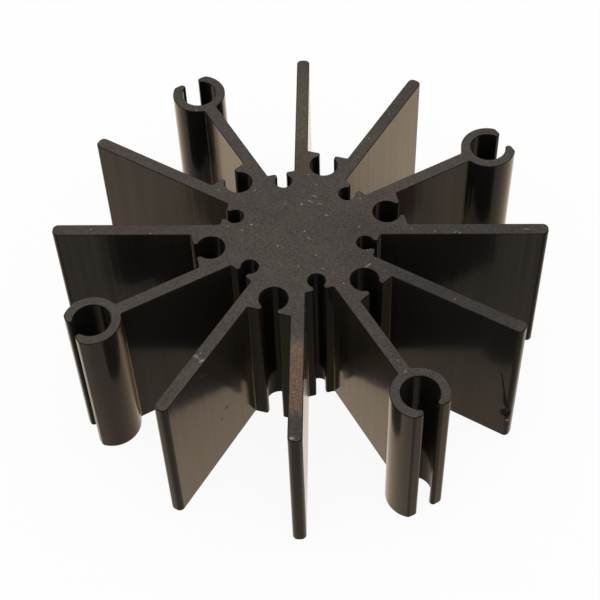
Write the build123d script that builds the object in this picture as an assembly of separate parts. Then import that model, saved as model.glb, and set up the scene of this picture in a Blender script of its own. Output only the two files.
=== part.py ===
from build123d import *

import math
import os

# A round heat sink, one length of black anodised aluminium extrusion. It stands on a sawn end with its
# axis on +Z and the origin at the middle of that end. Twelve fins leave a solid hub. Every third fin
# ends in a screw boss that opens outward, and between the fin roots lie open screw channels, small and
# large in turn.

# Overall sizes, in millimetres
overall_diameter = 52.0
height = 18.7

# Fins
fin_count = 12
fin_thickness = 1.44
fin_tip_flat = 0.3
fins_per_boss = 3

# Screw bosses at the fin ends
boss_setback = 2.3
boss_bore = 3.82
boss_wall = 1.06
boss_slot = 1.72
boss_mouth_rounding = 0.38
boss_inner_rounding = 0.12
boss_shoulder_rounding = 0.5
boss_web_rounding = 0.25

# Large screw channels: a bore, a slot out of it, and a flat lip on each side of the slot
large_pitch_diameter = 19.0
large_bore = 2.92
large_slot = 1.66
large_lip = 0.24
large_lip_rounding = 0.24

# Small screw channels
small_pitch_diameter = 14.2
small_bore = 1.78
small_slot = 1.08
small_lip = 0.35
small_lip_rounding = 0.26

# Root of each fin flank, where it meets the lips
root_rounding = 0.14

# Sizes that follow from those
overall_radius = overall_diameter / 2
fin_pitch = 360 / fin_count
boss_centre = overall_radius - boss_setback
boss_radius = boss_bore / 2 + boss_wall
fin_tip_rounding = (fin_thickness - fin_tip_flat) / 2

# How far a cutting shape runs past the surface that it opens
overrun = 0.5

# Two upright edges whose distances from the axis differ by less than this are the same kind of edge
same_place = 0.001


def uprights_at(body, x, y):
    """The body's upright edges that stand as far from the axis as the point (x, y)."""
    distance = math.hypot(x, y)
    uprights = body.edges().filter_by(Axis.Z)
    return uprights.filter_by(lambda e: abs(math.hypot(e.center().X, e.center().Y) - distance) < same_place)


def around(shape, first_angle, step):
    """The shape turned about the axis to every step, starting at first_angle."""
    count = round(360 / step)
    return [Rot(0, 0, first_angle + i * step) * shape for i in range(count)]


def web(length):
    """A fin's flat web along +X, from the axis outward."""
    return extrude(Rectangle(length, fin_thickness, align=(Align.MIN, Align.CENTER)), height)


def plain_fin():
    """A fin with a nearly round tip."""
    fin = web(overall_radius)
    return fillet(uprights_at(fin, overall_radius, fin_thickness / 2), fin_tip_rounding)


def boss():
    """A C-shaped boss that opens outward, trimmed to the overall diameter."""
    ring = Pos(boss_centre, 0) * (Circle(boss_radius) - Circle(boss_bore / 2))
    slot_space = Rectangle(boss_radius + overrun, boss_slot, align=(Align.MIN, Align.CENTER))
    slot = Pos(boss_centre, 0) * slot_space
    body = extrude((ring & Circle(overall_radius)) - slot, height)
    slot_edge = boss_slot / 2
    rim = uprights_at(body, overall_radius, 0)
    mouth = rim.filter_by(lambda e: abs(abs(e.center().Y) - slot_edge) < same_place)
    body = fillet(mouth, boss_mouth_rounding)
    body = fillet(uprights_at(body, overall_radius, 0), boss_shoulder_rounding)
    bore_reach = math.sqrt((boss_bore / 2) ** 2 - slot_edge ** 2)
    return fillet(uprights_at(body, boss_centre + bore_reach, slot_edge), boss_inner_rounding)


def boss_fin():
    """A fin that ends in a boss."""
    half_web = fin_thickness / 2
    foot = boss_centre - math.sqrt(boss_radius ** 2 - half_web ** 2)
    fin = web(boss_centre - boss_bore / 2 - boss_wall / 2) + boss()
    return fillet(uprights_at(fin, foot, half_web), boss_web_rounding)


def gap_fill(end):
    """The hub metal between two fin roots, out to a flat face across the gap."""
    half_width = end * math.tan(math.radians(fin_pitch / 2))
    outline = Polyline((0, 0), (end, -half_width), (end, half_width), close=True)
    return extrude(make_face(outline), height)


def keyhole(pitch_diameter, bore, slot, lip):
    """The space of one screw channel: its bore, with the slot that runs out of it past the lips."""
    slot_space = Rectangle(bore / 2 + lip + overrun, slot, align=(Align.MIN, Align.CENTER))
    return extrude(Pos(pitch_diameter / 2, 0) * (Circle(bore / 2) + slot_space), height)


def lip_end(pitch_diameter, bore, lip):
    """How far from the axis the lips of a channel end."""
    return (pitch_diameter + bore) / 2 + lip


def round_channel(body, end, slot, lip_rounding):
    """Rounds the lips of one size of channel, and the fin roots beside them."""
    half_angle = math.radians(fin_pitch / 2)
    root = end * math.tan(half_angle) - fin_thickness / 2 / math.cos(half_angle)
    body = fillet(uprights_at(body, end, slot / 2), lip_rounding)
    return fillet(uprights_at(body, end, root), root_rounding)


def heat_sink():
    """The whole extrusion at its sawn length."""
    large_end = lip_end(large_pitch_diameter, large_bore, large_lip)
    small_end = lip_end(small_pitch_diameter, small_bore, small_lip)
    plain = plain_fin()
    bossed = boss_fin()
    fins = [
        Rot(0, 0, (i + 0.5) * fin_pitch) * (bossed if i % fins_per_boss == 1 else plain)
        for i in range(fin_count)
    ]
    fills = around(gap_fill(small_end), 0, 2 * fin_pitch) + around(gap_fill(large_end), fin_pitch, 2 * fin_pitch)
    small_channel = keyhole(small_pitch_diameter, small_bore, small_slot, small_lip)
    large_channel = keyhole(large_pitch_diameter, large_bore, large_slot, large_lip)
    channels = around(small_channel, 0, 2 * fin_pitch) + around(large_channel, fin_pitch, 2 * fin_pitch)
    body = Part() + fills + fins - channels
    body = round_channel(body, small_end, small_slot, small_lip_rounding)
    return round_channel(body, large_end, large_slot, large_lip_rounding)


os.makedirs("parts", exist_ok=True)
export_step(heat_sink(), "parts/heat_sink.step")
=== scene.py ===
"""A round heat sink, sawn from a black anodised aluminium extrusion, on a pale studio floor."""

import math
from typing import NamedTuple

import bmesh
import bpy
from bpy.props import FloatProperty, FloatVectorProperty, IntProperty, PointerProperty
from mathutils import Matrix, Vector


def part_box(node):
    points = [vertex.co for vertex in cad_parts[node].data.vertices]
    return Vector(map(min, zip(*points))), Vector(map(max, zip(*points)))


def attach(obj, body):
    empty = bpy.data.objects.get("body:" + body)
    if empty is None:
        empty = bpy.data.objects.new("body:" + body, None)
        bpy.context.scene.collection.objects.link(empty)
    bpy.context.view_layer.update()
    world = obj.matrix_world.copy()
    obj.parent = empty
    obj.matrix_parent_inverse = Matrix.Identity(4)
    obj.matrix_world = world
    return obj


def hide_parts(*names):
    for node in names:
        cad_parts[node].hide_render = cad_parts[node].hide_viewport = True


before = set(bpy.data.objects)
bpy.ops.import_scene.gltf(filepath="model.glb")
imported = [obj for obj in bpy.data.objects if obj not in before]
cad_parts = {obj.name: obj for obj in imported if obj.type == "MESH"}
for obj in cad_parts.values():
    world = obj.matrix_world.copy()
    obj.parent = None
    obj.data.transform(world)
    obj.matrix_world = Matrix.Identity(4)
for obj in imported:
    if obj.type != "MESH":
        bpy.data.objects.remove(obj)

bl_info = {
    "name": "Round Heat Sink",
    "version": (1, 0, 0),
    "blender": (4, 5, 0),
    "location": "3D View > Sidebar > Heat Sink",
    "description": "Builds a round extruded heat sink and the studio that it stands in",
    "category": "Add Mesh",
}

MM = 0.001

# The node of the imported model that the extrusion stands for, and its body
NODE = "heat_sink"
BODY = "root"

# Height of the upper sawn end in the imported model, in millimetres
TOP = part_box(NODE)[1].z / MM

# Arcs of the section are cut into steps of this many degrees
ARC_STEP = 6

# Edges that bend by more than this many degrees are shaded as sharp
SHARP_ANGLE = 35

# Points nearer than this are one point
SAME_PLACE = 0.001 * MM

# The strands meet at the fin flanks at this share of the overall diameter from the axis
FLANK_SHARE = 0.32

# Points in each rounding of a sawn edge
EDGE_ROUNDING_POINTS = 3

# The place of the fin with a boss in each group of fins, counted from 0, and the kinds of channel that
# take turns
BOSS_PLACE = 1.0
CHANNEL_KINDS = 2.0

HALF = 0.5

# The strands that the section's outline is made of, by the number that each carries
PLAIN_END, BOSS_END, SMALL_CHANNEL, LARGE_CHANNEL = range(4)


# Sizes and colours that a user may change

class HeatSinkSizes(bpy.types.PropertyGroup):
    """Sizes of the extrusion's section, and its sawn length."""

    overall_diameter: FloatProperty(
        name="Overall Diameter", description="Diameter over the fin tips",
        default=52 * MM, unit="LENGTH", precision=5)
    height: FloatProperty(
        name="Height", description="Length of the extrusion between its sawn ends",
        default=TOP * MM, unit="LENGTH", precision=5)
    fin_count: IntProperty(
        name="Fins", description="Number of fins around the hub", default=12)
    fins_per_boss: IntProperty(
        name="Fins per Boss", description="Every so many fins, one ends in a screw boss", default=3)
    fin_thickness: FloatProperty(
        name="Fin Thickness", description="Thickness of each fin",
        default=1.44 * MM, unit="LENGTH", precision=5)
    fin_tip_rounding: FloatProperty(
        name="Fin Tip Rounding", description="Radius of the two roundings at a plain fin's tip",
        default=0.57 * MM, unit="LENGTH", precision=5)
    boss_setback: FloatProperty(
        name="Boss Setback", description="How far a screw boss lies inside the overall diameter",
        default=2.3 * MM, unit="LENGTH", precision=5)
    boss_bore: FloatProperty(
        name="Boss Bore", description="Bore of a screw boss",
        default=3.82 * MM, unit="LENGTH", precision=5)
    boss_wall: FloatProperty(
        name="Boss Wall", description="Wall around the bore of a screw boss",
        default=1.06 * MM, unit="LENGTH", precision=5)
    boss_slot: FloatProperty(
        name="Boss Slot", description="Width of the slot by which a screw boss opens outward",
        default=1.72 * MM, unit="LENGTH", precision=5)
    boss_web_rounding: FloatProperty(
        name="Boss Web Rounding", description="Rounding where a fin meets its boss",
        default=0.25 * MM, unit="LENGTH", precision=5)
    boss_shoulder_rounding: FloatProperty(
        name="Boss Shoulder Rounding", description="Rounding of a boss towards the overall diameter",
        default=0.5 * MM, unit="LENGTH", precision=5)
    boss_mouth_rounding: FloatProperty(
        name="Boss Mouth Rounding", description="Outer rounding of a boss's slot",
        default=0.38 * MM, unit="LENGTH", precision=5)
    boss_inner_rounding: FloatProperty(
        name="Boss Inner Rounding", description="Rounding between a boss's slot and its bore",
        default=0.12 * MM, unit="LENGTH", precision=5)
    large_pitch_diameter: FloatProperty(
        name="Large Channel Circle", description="Diameter of the circle through the large screw channels",
        default=19 * MM, unit="LENGTH", precision=5)
    large_bore: FloatProperty(
        name="Large Channel Bore", description="Bore of a large screw channel",
        default=2.92 * MM, unit="LENGTH", precision=5)
    large_slot: FloatProperty(
        name="Large Channel Slot", description="Width of the slot of a large screw channel",
        default=1.66 * MM, unit="LENGTH", precision=5)
    large_lip: FloatProperty(
        name="Large Channel Lip", description="How far the lips stand out past a large bore",
        default=0.24 * MM, unit="LENGTH", precision=5)
    large_lip_rounding: FloatProperty(
        name="Large Lip Rounding", description="Rounding of the lips of a large screw channel",
        default=0.24 * MM, unit="LENGTH", precision=5)
    small_pitch_diameter: FloatProperty(
        name="Small Channel Circle", description="Diameter of the circle through the small screw channels",
        default=14.2 * MM, unit="LENGTH", precision=5)
    small_bore: FloatProperty(
        name="Small Channel Bore", description="Bore of a small screw channel",
        default=1.78 * MM, unit="LENGTH", precision=5)
    small_slot: FloatProperty(
        name="Small Channel Slot", description="Width of the slot of a small screw channel",
        default=1.08 * MM, unit="LENGTH", precision=5)
    small_lip: FloatProperty(
        name="Small Channel Lip", description="How far the lips stand out past a small bore",
        default=0.35 * MM, unit="LENGTH", precision=5)
    small_lip_rounding: FloatProperty(
        name="Small Lip Rounding", description="Rounding of the lips of a small screw channel",
        default=0.26 * MM, unit="LENGTH", precision=5)
    root_rounding: FloatProperty(
        name="Root Rounding", description="Rounding where a fin's flank meets the lips",
        default=0.14 * MM, unit="LENGTH", precision=5)
    edge_break: FloatProperty(
        name="Edge Break", description="Radius to which the edges of the sawn ends are worn",
        default=0.08 * MM, unit="LENGTH", precision=5)


class HeatSinkFinish(bpy.types.PropertyGroup):
    """Colours of the anodised surfaces."""

    sawn_colour: FloatVectorProperty(
        name="Sawn Ends", description="Colour of the matte sawn ends",
        default=(0.059, 0.048, 0.040), size=3, subtype="COLOR")
    drawn_colour: FloatVectorProperty(
        name="Drawn Sides", description="Colour of the sides that the die left smooth",
        default=(0.0042, 0.0036, 0.0032), size=3, subtype="COLOR")


class HeatSinkStage(bpy.types.PropertyGroup):
    """The studio around the heat sink."""

    floor_colour: FloatVectorProperty(
        name="Floor", description="Colour of the pale floor",
        default=(0.95, 0.95, 0.95), size=3, subtype="COLOR")
    floor_size: FloatProperty(
        name="Floor Size", description="Length of each side of the floor", default=3.0, unit="LENGTH")
    floor_glow: FloatProperty(
        name="Floor Glow", description="Share of the floor that shows white, also in the shadow",
        default=0.92, subtype="FACTOR")
    mirrored_glow: FloatProperty(
        name="Mirrored Glow", description="The same share of the floor where the object mirrors it",
        default=0.60, subtype="FACTOR")
    lamp_power: FloatProperty(
        name="Lamp Power", description="Power of the soft lamp overhead", default=1.35, unit="POWER")
    lamp_size: FloatProperty(
        name="Lamp Size", description="Length of each side of the soft lamp", default=0.6, unit="LENGTH")
    sky_strength: FloatProperty(
        name="Room Light", description="Strength of the even light of the room", default=0.83)


# The section's outline, in strands that meet at the middle of the fin flanks

def polar(angle, radius=1.0):
    """The point at an angle, in radians, and a distance from the origin."""
    return Vector((math.cos(angle), math.sin(angle))) * radius


def angle_of(vector):
    """The angle of a vector from +X, in radians."""
    return math.atan2(vector.y, vector.x)


def arc(centre, radius, start, end):
    """Points along an arc between two angles in radians, its ends included."""
    steps = max(2, math.ceil(abs(end - start) / math.radians(ARC_STEP)))
    return [centre + polar(start + (end - start) * i / steps, radius) for i in range(steps + 1)]


def both_sides(upper_half):
    """A strand that ends where it crosses the X axis, made whole with its mirror image."""
    lower_half = [Vector((p.x, -p.y)) for p in reversed(upper_half)]
    return upper_half + lower_half


def flank_point(sizes):
    """The point of a fin's upper flank where strands meet, for a fin along +X."""
    return Vector((FLANK_SHARE * sizes.overall_diameter, sizes.fin_thickness / 2))


def boss_middle(sizes):
    """The middle of a screw boss, for a fin along +X."""
    return Vector((sizes.overall_diameter / 2 - sizes.boss_setback, 0))


def lip_end(pitch_diameter, bore_diameter, lip):
    """How far from the axis the lips of a channel end."""
    return (pitch_diameter + bore_diameter) / 2 + lip


def plain_end(sizes):
    """Outline of a plain fin's outer end, for a fin along +X."""
    rounding = sizes.fin_tip_rounding
    centre = Vector((sizes.overall_diameter / 2 - rounding, sizes.fin_thickness / 2 - rounding))
    return both_sides([flank_point(sizes)] + arc(centre, rounding, math.pi / 2, 0))


def boss_end(sizes):
    """Outline of the outer end of a fin with a screw boss, for a fin along +X."""
    overall = sizes.overall_diameter / 2
    middle = boss_middle(sizes)
    bore = sizes.boss_bore / 2
    outside = bore + sizes.boss_wall

    foot = sizes.boss_web_rounding
    foot_y = sizes.fin_thickness / 2 + foot
    foot_centre = Vector((middle.x - math.sqrt((outside + foot) ** 2 - foot_y ** 2), foot_y))

    shoulder = sizes.boss_shoulder_rounding
    shoulder_x = ((overall - shoulder) ** 2 - (outside - shoulder) ** 2 + middle.x ** 2) / (2 * middle.x)
    shoulder_centre = Vector((shoulder_x, math.sqrt((overall - shoulder) ** 2 - shoulder_x ** 2)))

    mouth = sizes.boss_mouth_rounding
    mouth_y = sizes.boss_slot / 2 + mouth
    mouth_centre = Vector((math.sqrt((overall - mouth) ** 2 - mouth_y ** 2), mouth_y))

    inner = sizes.boss_inner_rounding
    inner_y = sizes.boss_slot / 2 + inner
    inner_centre = middle + Vector((math.sqrt((bore + inner) ** 2 - inner_y ** 2), inner_y))

    ring_start = angle_of(foot_centre - middle)
    ring_end = angle_of(shoulder_centre - middle)
    rim_start = angle_of(shoulder_centre)
    rim_end = angle_of(mouth_centre)
    bore_start = angle_of(inner_centre - middle)
    down = -math.pi / 2
    return both_sides(
        [flank_point(sizes)]
        + arc(foot_centre, foot, down, ring_start - math.pi)
        + arc(middle, outside, ring_start, ring_end)
        + arc(shoulder_centre, shoulder, ring_end, rim_start)
        + arc(Vector((0, 0)), overall, rim_start, rim_end)
        + arc(mouth_centre, mouth, rim_end, down)
        + arc(inner_centre, inner, down, bore_start - math.pi)
        + arc(middle, bore, bore_start, math.pi)
    )


def channel(sizes, pitch_diameter, bore_diameter, lip, slot, lip_rounding):
    """Outline of a screw channel in the gap along +X, with the fin roots beside it."""
    bore = bore_diameter / 2
    middle = Vector((pitch_diameter / 2, 0))
    end = lip_end(pitch_diameter, bore_diameter, lip)
    half_gap = math.pi / sizes.fin_count
    lip_centre = Vector((end - lip_rounding, slot / 2 + lip_rounding))
    root = sizes.root_rounding
    root_x = end + root
    root_reach = sizes.fin_thickness / 2 + root
    root_centre = Vector((root_x, (root_x * math.sin(half_gap) - root_reach) / math.cos(half_gap)))
    flank = flank_point(sizes)
    flank_on_fin = Matrix.Rotation(half_gap, 2) @ Vector((flank.x, -flank.y))
    return both_sides(
        [flank_on_fin]
        + arc(root_centre, root, half_gap + math.pi / 2, math.pi)
        + arc(lip_centre, lip_rounding, 0, -math.pi / 2)
        + arc(middle, bore, math.asin(slot / 2 / bore), math.pi)
    )


def without_doubles(points):
    """The points, less those that lie on the one before."""
    kept = points[:1]
    for point in points[1:]:
        if (point - kept[-1]).length > SAME_PLACE:
            kept.append(point)
    return kept


def beyond(x):
    """A test for points that lie at least so far along the X axis."""
    return lambda point: point.x > x - SAME_PLACE


def short_of(x):
    """A test for points that lie at most so far along the X axis."""
    return lambda point: point.x < x + SAME_PLACE


def within(centre, radius):
    """A test for points inside a circle or on it."""
    return lambda point: (point - centre).length < radius + SAME_PLACE


def either(first, second):
    """A test for points that pass one of two tests."""
    return lambda point: first(point) or second(point)


def strands_object(sizes):
    """An object that holds one of each strand. Its points carry the strand's number, and whether the wall
    is dull there, with painted shade: at the outer ends, in the boss bores and in the channels out to
    their lips."""
    small = (sizes.small_pitch_diameter, sizes.small_bore, sizes.small_lip)
    large = (sizes.large_pitch_diameter, sizes.large_bore, sizes.large_lip)
    overall = sizes.overall_diameter / 2
    in_tip = beyond(overall - sizes.fin_tip_rounding)
    in_rim = beyond(overall - sizes.boss_mouth_rounding)
    in_bore = within(boss_middle(sizes), sizes.boss_bore / 2)
    strands = {
        PLAIN_END: (plain_end(sizes), in_tip),
        BOSS_END: (boss_end(sizes), either(in_rim, in_bore)),
        SMALL_CHANNEL: (
            channel(sizes, *small, sizes.small_slot, sizes.small_lip_rounding),
            short_of(lip_end(*small))),
        LARGE_CHANNEL: (
            channel(sizes, *large, sizes.large_slot, sizes.large_lip_rounding),
            short_of(lip_end(*large))),
    }
    places = []
    edges = []
    numbers = []
    dull_shaded_flags = []
    for number, (strand, is_dull_shaded) in strands.items():
        strand = without_doubles(strand)
        first = len(places)
        places += [point.to_3d() for point in strand]
        edges += [(first + i, first + i + 1) for i in range(len(strand) - 1)]
        numbers += [number] * len(strand)
        dull_shaded_flags += [float(is_dull_shaded(point)) for point in strand]
    mesh = bpy.data.meshes.new("section_strands")
    mesh.from_pydata(places, edges, [])
    mesh.attributes.new("strand", "INT", "POINT").data.foreach_set("value", numbers)
    mesh.attributes.new("dull", "FLOAT", "POINT").data.foreach_set("value", dull_shaded_flags)
    strands_piece = bpy.data.objects.new("section_strands", mesh)
    bpy.context.scene.collection.objects.link(strands_piece)
    return strands_piece


# The Geometry Nodes tree that repeats the strands and draws the section to its length

class Tree:
    """Adds nodes to a node tree and links them."""

    def __init__(self, nodes, links):
        self.nodes = nodes
        self.links = links

    def add(self, kind, *inputs, settings=None, **named_inputs):
        """Adds a node. An input is a socket to link or a value to set, by position or by name."""
        node = self.nodes.new(kind)
        for name, value in (settings or {}).items():
            setattr(node, name, value)
        numbered = dict(enumerate(inputs))
        named = {name.replace("_", " "): value for name, value in named_inputs.items()}
        for key, value in {**numbered, **named}.items():
            if isinstance(value, bpy.types.NodeSocket):
                self.links.new(value, node.inputs[key])
            else:
                node.inputs[key].default_value = value
        return node

    def math(self, operation, *values):
        """Adds a Math node and returns its result."""
        return self.add("ShaderNodeMath", *values, settings={"operation": operation}).outputs[0]


def join(tree, geometries):
    """One geometry out of several."""
    node = tree.add("GeometryNodeJoinGeometry")
    for geometry in reversed(geometries):
        tree.links.new(geometry, node.inputs[0])
    return node.outputs[0]


def same_number(tree, value, number):
    """Whether a whole-number field has one value."""
    compare = tree.add("FunctionNodeCompare", settings={"data_type": "INT", "operation": "EQUAL"})
    first, second = [socket for socket in compare.inputs if socket.type == "INT"]
    tree.links.new(value, first)
    second.default_value = number
    return compare.outputs["Result"]


def repeat_strand(tree, strands, number, fin_count, turns, chosen):
    """Copies of one strand about the axis, at the turns of those points that are chosen."""
    strand_number = tree.add("GeometryNodeInputNamedAttribute", "strand", settings={"data_type": "INT"})
    is_strand = same_number(tree, strand_number.outputs["Attribute"], number)
    strand = tree.add("GeometryNodeSeparateGeometry", strands, is_strand)
    points = tree.add("GeometryNodePoints", fin_count)
    pitch = tree.math("DIVIDE", 2 * math.pi, fin_count)
    turn = tree.add("ShaderNodeCombineXYZ", Z=tree.math("MULTIPLY", turns, pitch))
    copies = tree.add(
        "GeometryNodeInstanceOnPoints", points.outputs[0], chosen,
        Instance=strand.outputs[0], Rotation=turn.outputs[0])
    return copies.outputs[0]


def edge_profile(tree, height, edge_break):
    """The upright line that sweeps the wall, rounded inward at both ends.

    Its four points are the inner end of the first edge, that edge, the other edge and its inner end.
    Along the outline, a profile's X points into the metal and its Y points down."""
    count = 4
    middle = (count - 1) / 2
    line = tree.add("GeometryNodeMeshLine", Count=count)
    index = tree.add("GeometryNodeInputIndex").outputs[0]
    is_edge = tree.math("COMPARE", index, middle, 1.0)
    inward = tree.math("MULTIPLY", tree.math("SUBTRACT", 1.0, is_edge), edge_break)
    is_second_half = tree.math("GREATER_THAN", index, middle)
    downward = tree.math("MULTIPLY", is_second_half, tree.math("MULTIPLY", height, -1.0))
    place = tree.add("ShaderNodeCombineXYZ", inward, downward)
    placed = tree.add("GeometryNodeSetPosition", line.outputs[0], Position=place.outputs[0])
    angular = tree.add("GeometryNodeMeshToCurve", placed.outputs[0])
    rounded = tree.add(
        "GeometryNodeFilletCurve", angular.outputs[0], settings={"mode": "POLY"},
        Count=EDGE_ROUNDING_POINTS, Radius=edge_break)
    return rounded.outputs[0]


def extrusion_tree():
    """Repeats the strands about the axis, joins them to one outline, and draws it to its height."""
    group = bpy.data.node_groups.new("heat_sink_extrusion", "GeometryNodeTree")
    group.is_modifier = True
    sockets = (
        ("Strands", "NodeSocketGeometry"),
        ("Fins", "NodeSocketInt"),
        ("Fins per Boss", "NodeSocketInt"),
        ("Height", "NodeSocketFloat"),
        ("Edge Break", "NodeSocketFloat"),
        ("Sawn End", "NodeSocketMaterial"),
        ("Drawn Side", "NodeSocketMaterial"),
        ("Dull Shaded Side", "NodeSocketMaterial"),
    )
    for name, kind in sockets:
        group.interface.new_socket(name, in_out="INPUT", socket_type=kind)
    group.interface.new_socket("Extrusion", in_out="OUTPUT", socket_type="NodeSocketGeometry")

    tree = Tree(group.nodes, group.links)
    given = tree.add("NodeGroupInput").outputs
    strands = given["Strands"]
    fins = given["Fins"]
    index = tree.add("GeometryNodeInputIndex").outputs[0]

    fin_turns = tree.math("ADD", index, HALF)
    place_in_group = tree.math("MODULO", index, given["Fins per Boss"])
    has_boss = tree.math("COMPARE", place_in_group, BOSS_PLACE, HALF)
    has_tip = tree.math("SUBTRACT", 1.0, has_boss)
    is_large = tree.math("MODULO", index, CHANNEL_KINDS)
    is_small = tree.math("SUBTRACT", 1.0, is_large)
    copies = join(tree, [
        repeat_strand(tree, strands, PLAIN_END, fins, fin_turns, has_tip),
        repeat_strand(tree, strands, BOSS_END, fins, fin_turns, has_boss),
        repeat_strand(tree, strands, SMALL_CHANNEL, fins, index, is_small),
        repeat_strand(tree, strands, LARGE_CHANNEL, fins, index, is_large),
    ])
    realized = tree.add("GeometryNodeRealizeInstances", copies)
    merged = tree.add("GeometryNodeMergeByDistance", realized.outputs[0], Distance=SAME_PLACE)
    outline = tree.add("GeometryNodeMeshToCurve", merged.outputs[0])
    upright = tree.add("GeometryNodeSetCurveNormal", outline.outputs[0], settings={"mode": "Z_UP"})

    profile = edge_profile(tree, given["Height"], given["Edge Break"])
    wall = tree.add("GeometryNodeCurveToMesh", upright.outputs[0], profile).outputs[0]
    drawn = tree.add("GeometryNodeSetMaterial", wall, Material=given["Drawn Side"]).outputs[0]
    # Faces wholly on the dull side take the dull material, whose darkened colour is painted shade
    dull_shaded_flags = tree.add("GeometryNodeInputNamedAttribute", "dull", settings={"data_type": "FLOAT"})
    almost_all = 0.9
    all_dull_shaded = tree.math("GREATER_THAN", dull_shaded_flags.outputs["Attribute"], almost_all)
    side = tree.add("GeometryNodeSetMaterial", drawn, all_dull_shaded, given["Dull Shaded Side"]).outputs[0]

    faces_beside = tree.add("GeometryNodeInputMeshEdgeNeighbors").outputs[0]
    is_rim = same_number(tree, faces_beside, 1)
    position = tree.add("ShaderNodeSeparateXYZ", tree.add("GeometryNodeInputPosition").outputs[0])
    half_height = tree.math("MULTIPLY", given["Height"], HALF)
    is_upper = tree.math("GREATER_THAN", position.outputs["Z"], half_height)
    is_upper_rim = tree.math("MULTIPLY", is_rim, is_upper)
    rim = tree.add("GeometryNodeMeshToCurve", wall, is_upper_rim).outputs[0]
    face = tree.add("GeometryNodeFillCurve", rim).outputs[0]
    sawn = tree.add("GeometryNodeSetMaterial", face, Material=given["Sawn End"]).outputs[0]
    lift = tree.add("ShaderNodeCombineXYZ", Z=given["Height"]).outputs[0]
    top = tree.add("GeometryNodeTransform", sawn, Translation=lift).outputs[0]
    bottom = tree.add("GeometryNodeFlipFaces", sawn).outputs[0]

    whole = join(tree, [side, top, bottom])
    closed = tree.add("GeometryNodeMergeByDistance", whole, Distance=SAME_PLACE).outputs[0]
    unnumbered = tree.add("GeometryNodeRemoveAttribute", closed, Name="strand").outputs[0]
    bare = tree.add("GeometryNodeRemoveAttribute", unnumbered, Name="dull").outputs[0]
    smooth = tree.add("GeometryNodeSetShadeSmooth", bare).outputs[0]
    bend = tree.add("GeometryNodeInputMeshEdgeAngle").outputs["Unsigned Angle"]
    is_corner = tree.math("GREATER_THAN", bend, math.radians(SHARP_ANGLE))
    shaded = tree.add(
        "GeometryNodeSetShadeSmooth", smooth, is_corner, False, settings={"domain": "EDGE"})
    tree.add("NodeGroupOutput", shaded.outputs[0])
    return group


def set_tree_input(modifier, name, value):
    """Sets one named input of a Geometry Nodes modifier."""
    item = next(
        i for i in modifier.node_group.interface.items_tree
        if i.item_type == "SOCKET" and i.in_out == "INPUT" and i.name == name)
    modifier[item.identifier] = value


def remove_with_mesh(piece):
    """Removes an object, and the mesh that only it uses."""
    mesh = piece.data
    bpy.data.objects.remove(piece)
    bpy.data.meshes.remove(mesh)


def plain_mesh(source, name):
    """The object's evaluated shape as a plain mesh with its faces outward. The object is removed."""
    depsgraph = bpy.context.evaluated_depsgraph_get()
    mesh = bpy.data.meshes.new_from_object(source.evaluated_get(depsgraph))
    mesh.name = name
    remove_with_mesh(source)
    shape = bmesh.new()
    shape.from_mesh(mesh)
    bmesh.ops.recalc_face_normals(shape, faces=shape.faces)
    shape.to_mesh(mesh)
    shape.free()
    return mesh


# Gouges and pits in the fins' sides

class Cut(NamedTuple):
    """A gouge at one height, in millimetres: how far from the axis, how high, how wide and deep."""

    along: float
    height: float
    half_width: float
    depth: float


class Gouge(NamedTuple):
    """A gouge in a fin: the fin's angle in degrees, its side as 1 or -1, and the cuts downward."""

    fin_angle: float
    side: int
    cuts: tuple


GOUGES = (
    # Near one fin's tip, a gouge that widens downward and ends in a dent
    Gouge(-15, -1, (
        Cut(24.42, 10.6, 0.02, 0.02),
        Cut(24.80, 8.6, 0.06, 0.06),
        Cut(25.07, 6.9, 0.10, 0.10),
        Cut(25.24, 5.5, 0.17, 0.16),
        Cut(25.36, 4.5, 0.42, 0.24),
        Cut(25.42, 3.8, 0.20, 0.12),
    )),
    # On another fin, two pits
    Gouge(-105, 1, (
        Cut(16.36, 7.43, 0.08, 0.04),
        Cut(16.43, 7.30, 0.16, 0.12),
        Cut(16.50, 7.17, 0.08, 0.04),
    )),
    Gouge(-105, 1, (
        Cut(17.44, 6.50, 0.06, 0.03),
        Cut(17.49, 6.40, 0.12, 0.09),
        Cut(17.54, 6.30, 0.06, 0.03),
    )),
)

# How far the shapes that cut the gouges stand out of the fins' sides, in millimetres
CUTTER_REACH = 0.1


def add_gouge(shape, gouge, half_fin):
    """Adds the V-shaped metal that a gouge takes out of a fin of this half thickness in millimetres."""
    rings = []
    for cut in gouge.cuts:
        opening = cut.half_width * (1 + CUTTER_REACH / cut.depth)
        mouth = half_fin + CUTTER_REACH
        corners = (
            (cut.along - opening, mouth), (cut.along, half_fin - cut.depth), (cut.along + opening, mouth))
        places = [Vector((x, gouge.side * y, cut.height)) * MM for x, y in corners]
        rings.append([shape.verts.new(place) for place in places])
    shape.faces.new(rings[0])
    shape.faces.new(rings[-1])
    for upper, lower in zip(rings, rings[1:]):
        for i in range(len(upper)):
            shape.faces.new((upper[i - 1], upper[i], lower[i], lower[i - 1]))
    turn = Matrix.Rotation(math.radians(gouge.fin_angle), 3, "Z")
    bmesh.ops.rotate(shape, verts=sum(rings, []), matrix=turn)


def gouges_object(sizes, material):
    """An object in the shape of the metal that all the gouges take out of the fins."""
    shape = bmesh.new()
    for gouge in GOUGES:
        add_gouge(shape, gouge, sizes.fin_thickness / 2 / MM)
    bmesh.ops.recalc_face_normals(shape, faces=shape.faces)
    mesh = bpy.data.meshes.new("gouges")
    shape.to_mesh(mesh)
    shape.free()
    mesh.materials.append(material)
    gouges = bpy.data.objects.new("gouges", mesh)
    bpy.context.scene.collection.objects.link(gouges)
    return gouges


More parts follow.
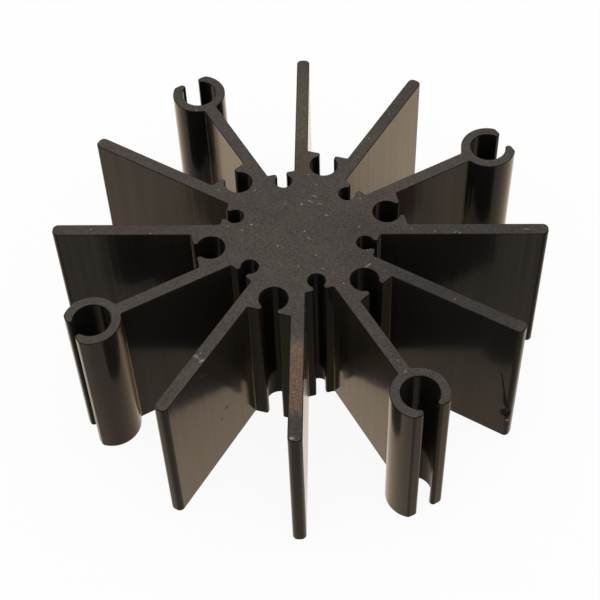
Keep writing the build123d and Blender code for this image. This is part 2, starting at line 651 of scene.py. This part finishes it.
def cut_out(mesh, cutter, name):
    """The mesh without the cutter's shape, under a new name. The cutter is removed."""
    uncut = bpy.data.objects.new("uncut", mesh)
    bpy.context.scene.collection.objects.link(uncut)
    difference = uncut.modifiers.new("Cut", "BOOLEAN")
    difference.object = cutter
    difference.operation = "DIFFERENCE"
    difference.solver = "EXACT"
    difference.material_mode = "TRANSFER"
    cut_mesh = plain_mesh(uncut, name)
    remove_with_mesh(cutter)
    return cut_mesh


# Materials

def new_material(name):
    """An empty node material, and its tree."""
    material = bpy.data.materials.new(name)
    material.use_nodes = True
    nodes = material.node_tree.nodes
    nodes.clear()
    return material, Tree(nodes, material.node_tree.links)


def principled_surface(tree, values):
    """The material's surface shader, with values that are the same all over the surface."""
    shader = tree.add("ShaderNodeBsdfPrincipled")
    for name, value in values.items():
        shader.inputs[name].default_value = value
    tree.add("ShaderNodeOutputMaterial", Surface=shader.outputs[0])
    return shader


def grain(tree, scale, stretch=(1, 1, 1), detail=3.0, roughness=0.55):
    """A noise pattern on object coordinates, with so many waves to a metre."""
    place = tree.add("ShaderNodeTexCoord").outputs["Object"]
    stretched = tree.add("ShaderNodeMapping", place, Scale=stretch).outputs[0]
    noise = tree.add(
        "ShaderNodeTexNoise", stretched, Scale=scale, Detail=detail, Roughness=roughness)
    return noise.outputs[0]


def ramp(tree, factor, low, high, start=0.0, end=1.0):
    """Maps a factor from one range to another, clamped."""
    node = tree.add("ShaderNodeMapRange", factor, start, end, low, high)
    return node.outputs[0]


def blend_colours(tree, factor, first, second):
    """A mix of two colours."""
    node = tree.add("ShaderNodeMix", settings={"data_type": "RGBA"})
    tree.links.new(factor, node.inputs["Factor"])
    ends = [socket for socket in node.inputs if socket.type == "RGBA"]
    for socket, colour in zip(ends, (first, second)):
        if isinstance(colour, bpy.types.NodeSocket):
            tree.links.new(colour, socket)
        else:
            socket.default_value = (*colour, 1)
    return next(socket for socket in node.outputs if socket.type == "RGBA")


def shade(colour, factor):
    """A colour made lighter or darker."""
    return tuple(c * factor for c in colour)


class Mark(NamedTuple):
    """A mark of another colour on a surface, such as wear and painted shade: an ellipsoid, its sizes in
    millimetres and turns in degrees.
    """

    centre: tuple
    half_size: tuple
    turn: tuple
    colour: tuple
    strength: float
    soft_rim: float = 0.6


# Colours of the marks
PALE = (0.30, 0.28, 0.25)
DUSTY = (0.45, 0.43, 0.40)
WARM = (0.150, 0.090, 0.062)
FADED = (0.092, 0.074, 0.055)
DARKER_TONE = (0.022, 0.019, 0.017)
# Painted shade, for the floors of the gouge and the pits
PAINTED_SHADE = (0.004, 0.003, 0.003)

SAWN_MARKS = (
    # The sawn end is darker over one side, and faded on one fin
    Mark((19.5, -2.2, TOP), (11.5, 15.5, 1), (0, 0, 0), DARKER_TONE, 0.65, 0.6),
    Mark((-4.8, 17.8, TOP), (8.0, 1.4, 1), (0, 0, -75), FADED, 0.70, 0.4),
    # The near fin is warmer along most of its length
    Mark((4.30, -16.2, TOP), (2.8, 1.5, 1), (0, 0, -75), WARM, 0.90, 0.3),
    Mark((4.95, -18.3, TOP), (2.3, 1.5, 1), (0, 0, -75), WARM, 0.80, 0.3),
    Mark((5.45, -20.2, TOP), (2.4, 1.5, 1), (0, 0, -75), WARM, 0.90, 0.3),
    # A rubbed patch across one fin, with a bright stroke at its end
    Mark((-4.55, -18.63, TOP), (0.40, 0.15, 1), (0, 0, 50), PALE, 0.75),
    Mark((-5.30, -18.25, TOP), (0.32, 0.26, 1), (0, 0, 0), PALE, 0.45),
    Mark((-4.93, -18.42, TOP), (0.40, 0.14, 1), (0, 0, -30), PALE, 0.25),
    # Three short parallel scratches on the hub
    Mark((0.25, 4.92, TOP), (0.50, 0.11, 1), (0, 0, -8), PALE, 0.60),
    Mark((0.04, 4.10, TOP), (0.50, 0.11, 1), (0, 0, -4), PALE, 0.50),
    Mark((1.13, 3.97, TOP), (0.40, 0.11, 1), (0, 0, 0), PALE, 0.40),
    # Bright specks on the hub
    Mark((0.58, -0.10, TOP), (0.14, 0.14, 1), (0, 0, 0), PALE, 1.0),
    Mark((1.28, -0.89, TOP), (0.34, 0.12, 1), (0, 0, -30), PALE, 0.35),
    Mark((-0.74, 3.43, TOP), (0.13, 0.13, 1), (0, 0, 0), PALE, 1.0),
    Mark((2.22, 2.61, TOP), (0.22, 0.12, 1), (0, 0, 40), PALE, 0.7),
    Mark((-5.05, -0.66, TOP), (0.14, 0.12, 1), (0, 0, 0), PALE, 1.0),
    Mark((-5.81, -1.63, TOP), (0.12, 0.12, 1), (0, 0, 0), PALE, 0.7),
    Mark((-1.59, -2.75, TOP), (0.13, 0.12, 1), (0, 0, 0), PALE, 0.8),
    Mark((5.95, 1.95, TOP), (0.12, 0.12, 1), (0, 0, 0), PALE, 0.8),
    # Small nicks
    Mark((8.17, -2.78, TOP), (0.36, 0.12, 1), (0, 0, 55), PALE, 0.85),
    Mark((7.98, -3.16, TOP), (0.16, 0.12, 1), (0, 0, 0), PALE, 0.7),
    Mark((10.0, -3.10, TOP), (0.16, 0.10, 1), (0, 0, 30), PALE, 0.55),
    Mark((15.78, 3.79, TOP), (0.28, 0.09, 1), (0, 0, 60), PALE, 0.5),
    Mark((22.9, 6.10, TOP), (0.45, 0.09, 1), (0, 0, 0), PALE, 0.60),
    Mark((14.8, -14.7, TOP), (0.30, 0.10, 1), (0, 0, 80), PALE, 0.50),
    Mark((6.35, -24.8, TOP), (0.30, 0.20, 1), (0, 0, 10), PALE, 0.90),
)


# How far the outline of a mark wanders, as a share of its size
UNEVENNESS = 1.2


def spots(tree, marks):
    """For each mark, a factor from its strength inside the mark's uneven outline to zero outside."""
    place = tree.add("ShaderNodeTexCoord").outputs["Object"]
    wander = grain(tree, scale=2400, detail=2.0)
    unevenness = tree.math("MULTIPLY_ADD", wander, UNEVENNESS, -UNEVENNESS / 2)
    factors = []
    for mark in marks:
        local = tree.add(
            "ShaderNodeMapping", place, settings={"vector_type": "TEXTURE"},
            Location=[v * MM for v in mark.centre],
            Rotation=[math.radians(v) for v in mark.turn],
            Scale=[v * MM for v in mark.half_size])
        length = tree.add("ShaderNodeVectorMath", local.outputs[0], settings={"operation": "LENGTH"})
        distance = tree.math("ADD", length.outputs["Value"], unevenness)
        factors.append(ramp(tree, distance, mark.strength, 0, 1 - mark.soft_rim, 1))
    return factors


def with_marks(tree, colour, marks, factors):
    """A colour with marks over it, of wear and of painted shade, each by its factor."""
    for mark, factor in zip(marks, factors):
        colour = blend_colours(tree, factor, colour, mark.colour)
    return colour


def dust(tree, cells, share, radius):
    """Specks of dust: one at the middle of so large a share of the cells of a fixed pattern."""
    place = tree.add("ShaderNodeTexCoord").outputs["Object"]
    pattern = tree.add(
        "ShaderNodeTexVoronoi", place, settings={"voronoi_dimensions": "2D"}, Scale=cells)
    chance = tree.add("ShaderNodeSeparateColor", pattern.outputs["Color"]).outputs[0]
    chosen = tree.math("LESS_THAN", chance, share)
    near = ramp(tree, pattern.outputs["Distance"], 1, 0, radius / 2, radius)
    return tree.math("MULTIPLY", chosen, near)


SAWN_GLOSS = {"Specular IOR Level": 0.2}


def sawn_material(colour):
    """The matte anodised grain of a sawn end, with its nicks and a little dust."""
    material, tree = new_material("anodised_sawn_end")
    shader = principled_surface(tree, SAWN_GLOSS)
    fine = grain(tree, scale=4800, detail=3.0, roughness=0.7)
    speckle = ramp(tree, fine, low=0.62, high=1.38, start=0.37, end=0.63)
    cloud = ramp(tree, grain(tree, scale=320, detail=2.0), low=0.96, high=1.12, start=0.4, end=0.7)
    tone = ramp(tree, grain(tree, scale=60, detail=1.0), low=1.0, high=0.84, start=0.45, end=0.6)
    brightness = tree.math("MULTIPLY", speckle, tree.math("MULTIPLY", cloud, tone))
    marked = with_marks(tree, colour, SAWN_MARKS, spots(tree, SAWN_MARKS))
    mottled = tree.add(
        "ShaderNodeVectorMath", marked, Scale=brightness, settings={"operation": "SCALE"})
    specks = dust(tree, cells=800, share=0.08, radius=0.055)
    dusty = blend_colours(tree, specks, mottled.outputs[0], DUSTY)
    bump = tree.add("ShaderNodeBump", Height=fine, Distance=0.02 * MM, Strength=0.6)
    tree.links.new(dusty, shader.inputs["Base Color"])
    tree.links.new(ramp(tree, fine, low=0.55, high=0.72), shader.inputs["Roughness"])
    tree.links.new(bump.outputs[0], shader.inputs["Normal"])
    return material


SIDE_MARKS = (
    # The floors of the gouge and of the two pits are painted dark: painted shade in these hollows
    Mark((23.9, -7.1, 8.3), (0.12, 0.5, 3.2), (0, -11, -15), PAINTED_SHADE, 1.0, 0.5),
    Mark((24.25, -7.2, 6.0), (0.30, 0.5, 2.2), (0, -9, -15), PAINTED_SHADE, 1.0, 0.5),
    Mark((24.40, -7.2, 4.2), (0.70, 0.5, 0.85), (0, 20, -15), PAINTED_SHADE, 1.0, 0.5),
    Mark((-3.56, -16.06, 7.3), (0.30, 0.20, 0.16), (0, 0, 75), PAINTED_SHADE, 1.0, 0.5),
    Mark((-3.83, -17.08, 6.4), (0.22, 0.20, 0.12), (0, 0, 75), PAINTED_SHADE, 0.8, 0.5),
    # One bright fleck lies below the gouge, and two on the fin with the pits
    Mark((24.70, -7.4, 3.0), (0.22, 0.5, 0.28), (0, 50, -15), PALE, 0.90),
    Mark((-4.39, -19.15, 16.9), (0.30, 0.30, 0.12), (0, 30, 75), PALE, 1.0),
    Mark((-4.20, -18.50, 16.3), (0.20, 0.30, 0.12), (0, -20, 75), PALE, 0.7),
)

# How much rougher such a mark is than the wall, and how much it faces up
MARK_ROUGHNESS = 0.5
MARK_SLOPE = 0.3

# The die's lines run the whole length of the extrusion
ALONG_THE_DIE = (1, 1, 0.01)

# Height of the wall's fine relief, and how much deeper its bands and pits are than its lines
RELIEF = 0.0014 * MM
BAND_DEPTH = 13.0
PIT_DEPTH = 4.0

# Gloss of the drawn sides: dark metal that mirrors beige at a glancing angle, under a thin clear film
DRAWN_GLOSS = {
    "Metallic": 1,
    "Specular Tint": (1.0, 0.85, 0.70, 1),
    "Anisotropic": 0.85,
    "Anisotropic Rotation": 0.25,
    "Coat Weight": 1.0,
    "Coat IOR": 1.155,
    "Coat Roughness": 0.2,
    "Coat Tint": (1.0, 0.935, 0.80, 1),
    "Sheen Weight": 0.028,
    "Sheen Roughness": 0.8,
    "Sheen Tint": (1.0, 0.85, 0.7, 1),
}

# Gloss of the outer ends, boss bores and channels, which have no such film. Their specular tint, below
# one, dims their reflections: painted shade
DULL_GLOSS = {
    "Metallic": 1,
    "Specular Tint": (0.92, 0.84, 0.75, 1),
    "Anisotropic": 0.85,
    "Anisotropic Rotation": 0.25,
    "Sheen Weight": 0.02,
    "Sheen Roughness": 0.8,
    "Sheen Tint": (1.0, 0.95, 0.9, 1),
}


def die_lines(tree, colour, smoothest, roughest):
    """Colour, roughness and relief of a wall with the lines that the die leaves along the extrusion."""
    dark_band = shade(colour, 0.2)
    light_band = shade(colour, 1.8)
    line = shade(colour, 3.0)
    lines = grain(tree, scale=4200, stretch=ALONG_THE_DIE, detail=2.0)
    bands = grain(tree, scale=1100, stretch=ALONG_THE_DIE, detail=3.0)
    pits = grain(tree, scale=5000, detail=1.0)
    in_band = ramp(tree, bands, low=0, high=1, start=0.35, end=0.65)
    banded = blend_colours(tree, in_band, dark_band, light_band)
    on_line = ramp(tree, lines, low=0, high=0.7, start=0.55, end=0.75)
    lined = blend_colours(tree, on_line, banded, line)
    roughness = ramp(tree, bands, low=smoothest, high=roughest, start=0.35, end=0.65)
    drawn = tree.math("MULTIPLY_ADD", bands, BAND_DEPTH, lines)
    relief = tree.math("MULTIPLY_ADD", pits, PIT_DEPTH, drawn)
    bump = tree.add("ShaderNodeBump", Height=relief, Distance=RELIEF, Strength=1)
    return lined, roughness, bump.outputs[0]


def roughened(tree, roughness, relief, factors):
    """Roughness and relief of a wall with marks of wear, each by its factor."""
    share = 0.0
    for factor in factors:
        share = tree.math("MAXIMUM", factor, share)
    rough = tree.math("MULTIPLY_ADD", share, MARK_ROUGHNESS, roughness)
    upward = tree.add("ShaderNodeCombineXYZ", Z=tree.math("MULTIPLY", share, MARK_SLOPE))
    facing = tree.add("ShaderNodeVectorMath", relief, upward.outputs[0]).outputs[0]
    return rough, facing


def side_material(name, colour, gloss, smoothest, roughest):
    """An anodised side with the die's lines along it, and with its marks of wear and of painted shade."""
    material, tree = new_material(name)
    shader = principled_surface(tree, gloss)
    along_the_lines = tree.add("ShaderNodeCombineXYZ", Z=1.0)
    lined, smooth, relief = die_lines(tree, colour, smoothest, roughest)
    factors = spots(tree, SIDE_MARKS)
    rough, facing = roughened(tree, smooth, relief, factors)
    marked = with_marks(tree, lined, SIDE_MARKS, factors)
    tree.links.new(marked, shader.inputs["Base Color"])
    tree.links.new(rough, shader.inputs["Roughness"])
    tree.links.new(facing, shader.inputs["Normal"])
    tree.links.new(facing, shader.inputs["Coat Normal"])
    tree.links.new(along_the_lines.outputs[0], shader.inputs["Tangent"])
    return material


def drawn_material(colour):
    """The semi-gloss side of the fins, the bosses and the hub."""
    return side_material(
        "anodised_drawn_side", colour, DRAWN_GLOSS, smoothest=0.03, roughest=0.13)


def dull_shaded_material(colour):
    """The duller side of the outer ends, the boss bores and the channels. Its colour is the sides' colour
    darkened: painted shade.
    """
    return side_material(
        "anodised_dull_shaded_side", shade(colour, 0.6), DULL_GLOSS, smoothest=0.08, roughest=0.22)


class HEATSINK_OT_extrusion(bpy.types.Operator):
    """Builds the extrusion: the hub with its channels, the fins and the screw bosses"""

    bl_idname = "heatsink.extrusion"
    bl_label = "Extrusion"

    def execute(self, context):
        sizes = context.scene.heat_sink_sizes
        finish = context.scene.heat_sink_finish
        strands = strands_object(sizes)
        modifier = strands.modifiers.new("Extrusion", "NODES")
        modifier.node_group = extrusion_tree()
        drawn_side = drawn_material(finish.drawn_colour)
        values = {
            "Fins": sizes.fin_count,
            "Fins per Boss": sizes.fins_per_boss,
            "Height": sizes.height,
            "Edge Break": sizes.edge_break,
            "Sawn End": sawn_material(finish.sawn_colour),
            "Drawn Side": drawn_side,
            "Dull Shaded Side": dull_shaded_material(finish.drawn_colour),
        }
        for name, value in values.items():
            set_tree_input(modifier, name, value)
        whole = plain_mesh(strands, "whole_extrusion")
        if not whole.polygons:
            raise RuntimeError("the outline of the section didn't close")
        mesh = cut_out(whole, gouges_object(sizes, drawn_side), "heat_sink_extrusion")
        extrusion = bpy.data.objects.new("heat_sink_extrusion", mesh)
        context.scene.collection.objects.link(extrusion)
        flat_faces = extrusion.modifiers.new("Flat Faces Stay Flat", "WEIGHTED_NORMAL")
        flat_faces.weight = 100
        flat_faces.keep_sharp = True
        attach(extrusion, BODY)
        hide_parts(NODE)
        return {"FINISHED"}


# The studio

# The camera's azimuth, elevation and roll, and its place from the origin along its own axes: to its
# right, up and back. The lens and the shift give the photograph's frame.
CAMERA_AZIMUTH = math.radians(16.88)
CAMERA_ELEVATION = math.radians(49.445)
CAMERA_ROLL = math.radians(-1.586)
CAMERA_PLACE = Vector((0.823 * MM, 11.828 * MM, 162.22 * MM))
CAMERA_LENS = 84.82
CAMERA_SENSOR = 36
CAMERA_SHIFT = (-0.0177, -0.1126)
CAMERA_NEAREST = 10 * MM

# Where the soft lamp hangs, in metres
LAMP_PLACE = (0.1, -0.2, 0.9)


def add_camera():
    """The camera, at the photograph's viewing angle."""
    camera = bpy.data.objects.new("camera", bpy.data.cameras.new("camera"))
    bpy.context.scene.collection.objects.link(camera)
    aim = (
        Matrix.Rotation(CAMERA_AZIMUTH, 4, "Z")
        @ Matrix.Rotation(math.pi / 2 - CAMERA_ELEVATION, 4, "X")
        @ Matrix.Rotation(CAMERA_ROLL, 4, "Z")
    )
    camera.matrix_world = aim @ Matrix.Translation(CAMERA_PLACE)
    camera.data.lens = CAMERA_LENS
    camera.data.sensor_width = CAMERA_SENSOR
    camera.data.shift_x, camera.data.shift_y = CAMERA_SHIFT
    camera.data.clip_start = CAMERA_NEAREST
    bpy.context.scene.camera = camera


def seen_directly(tree, by_camera=1.0, mirrored=1.0):
    """One value for rays from the camera, one for those that gloss or glass sends on, and else zero."""
    path = tree.add("ShaderNodeLightPath").outputs
    sent_on = tree.math("MAXIMUM", path["Is Glossy Ray"], path["Is Transmission Ray"])
    return tree.math(
        "MAXIMUM",
        tree.math("MULTIPLY", path["Is Camera Ray"], by_camera),
        tree.math("MULTIPLY", sent_on, mirrored))


def add_floor(settings):
    """The pale floor under the heat sink."""
    mesh = bpy.data.meshes.new("floor")
    half = settings.floor_size / 2
    square = [(-half, -half, 0), (half, -half, 0), (half, half, 0), (-half, half, 0)]
    mesh.from_pydata(square, [], [(0, 1, 2, 3)])
    floor = bpy.data.objects.new("floor", mesh)
    bpy.context.scene.collection.objects.link(floor)
    material, tree = new_material("floor_paper")
    paper = tree.add("ShaderNodeBsdfDiffuse", (*settings.floor_colour, 1))
    glow = tree.add("ShaderNodeEmission", (1, 1, 1, 1), 1.0)
    share = seen_directly(tree, settings.floor_glow, settings.mirrored_glow)
    lit = tree.add("ShaderNodeMixShader", share, paper.outputs[0], glow.outputs[0])
    tree.add("ShaderNodeOutputMaterial", Surface=lit.outputs[0])
    mesh.materials.append(material)


def add_lamp(settings):
    """The large soft lamp overhead."""
    data = bpy.data.lights.new("soft_lamp", "AREA")
    data.energy = settings.lamp_power
    data.size = settings.lamp_size
    lamp = bpy.data.objects.new("soft_lamp", data)
    lamp.location = LAMP_PLACE
    lamp.rotation_euler = lamp.location.to_track_quat("Z", "Y").to_euler()
    bpy.context.scene.collection.objects.link(lamp)


def add_room_light(settings):
    """Even light from all round, which the camera and the reflections see as white."""
    world = bpy.data.worlds.new("room")
    world.use_nodes = True
    bpy.context.scene.world = world
    world.node_tree.nodes.clear()
    tree = Tree(world.node_tree.nodes, world.node_tree.links)
    strength = ramp(tree, seen_directly(tree), settings.sky_strength, 1.0)
    background = tree.add("ShaderNodeBackground", (1, 1, 1, 1), strength)
    tree.add("ShaderNodeOutputWorld", Surface=background.outputs[0])


class HEATSINK_OT_stage(bpy.types.Operator):
    """Sets up the floor, the light and the camera"""

    bl_idname = "heatsink.stage"
    bl_label = "Stage"

    def execute(self, context):
        settings = context.scene.heat_sink_stage
        add_floor(settings)
        add_lamp(settings)
        add_room_light(settings)
        add_camera()
        context.scene.view_settings.view_transform = "Standard"
        return {"FINISHED"}


class HEATSINK_PT_panel(bpy.types.Panel):
    """The heat sink's operators and the values that they read"""

    bl_idname = "HEATSINK_PT_panel"
    bl_label = "Round Heat Sink"
    bl_space_type = "VIEW_3D"
    bl_region_type = "UI"
    bl_category = "Heat Sink"

    def draw(self, context):
        for operator in OPERATORS:
            self.layout.operator(operator.bl_idname)
        for name in GROUPS:
            settings = getattr(context.scene, name)
            box = self.layout.box()
            for field in settings.bl_rna.properties:
                if not field.is_readonly and field.identifier != "name":
                    box.prop(settings, field.identifier)


OPERATORS = (HEATSINK_OT_extrusion, HEATSINK_OT_stage)
GROUPS = {
    "heat_sink_sizes": HeatSinkSizes,
    "heat_sink_finish": HeatSinkFinish,
    "heat_sink_stage": HeatSinkStage,
}


def register():
    """Registers the classes, and puts the settings on the scene."""
    for name, group in GROUPS.items():
        bpy.utils.register_class(group)
        setattr(bpy.types.Scene, name, PointerProperty(type=group))
    for operator in OPERATORS:
        bpy.utils.register_class(operator)
    bpy.utils.register_class(HEATSINK_PT_panel)


def unregister():
    """Takes back what register() did."""
    bpy.utils.unregister_class(HEATSINK_PT_panel)
    for operator in reversed(OPERATORS):
        bpy.utils.unregister_class(operator)
    for name, group in reversed(GROUPS.items()):
        delattr(bpy.types.Scene, name)
        bpy.utils.unregister_class(group)


def clear_startup_scene():
    """Removes the objects that a new Blender file starts with."""
    for name in ("Cube", "Light", "Camera"):
        if name in bpy.data.objects:
            bpy.data.objects.remove(bpy.data.objects[name])


def main():
    """Builds everything."""
    clear_startup_scene()
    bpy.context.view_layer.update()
    register()
    bpy.ops.heatsink.extrusion()
    bpy.ops.heatsink.stage()


if __name__ == "__main__":
    main()
